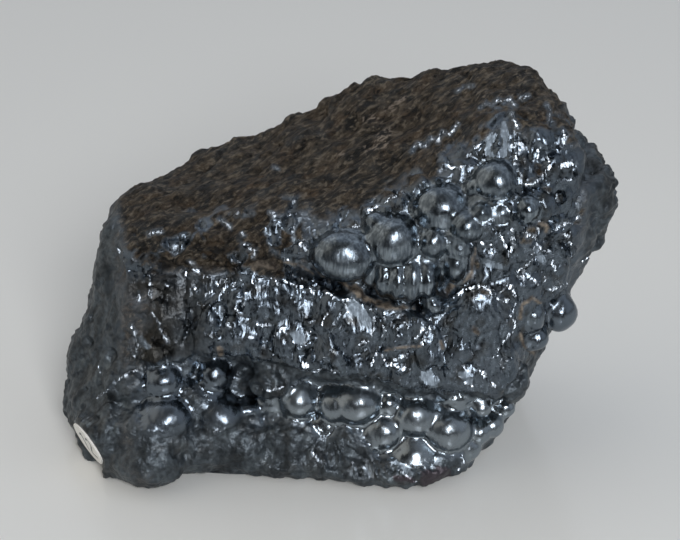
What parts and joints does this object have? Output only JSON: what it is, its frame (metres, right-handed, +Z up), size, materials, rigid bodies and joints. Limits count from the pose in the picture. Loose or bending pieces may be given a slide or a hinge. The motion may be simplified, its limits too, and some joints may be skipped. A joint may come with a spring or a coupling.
{
  "type": "botryoidal hematite specimen",
  "caption": "Wedge-shaped hand specimen of botryoidal hematite: brown rind, splintered ledge, glossy kidney lobes, small paper number dot.",
  "frame": {"origin": "on the flat resting face, near its middle", "axes": "+X along the stone's long edge towards its tall end, +Y from the broken front with the lobes to the back, +Z up"},
  "size_m": [0.124, 0.0663, 0.0791],
  "materials": {
    "hematite": "steel-grey metallic lustre, brown matte rind on top",
    "paper_label": "smooth white paper"
  },
  "bodies": {
    "root": {"hematite_specimen": "hematite", "number_sticker": "paper_label"}
  },
  "joints": []
}
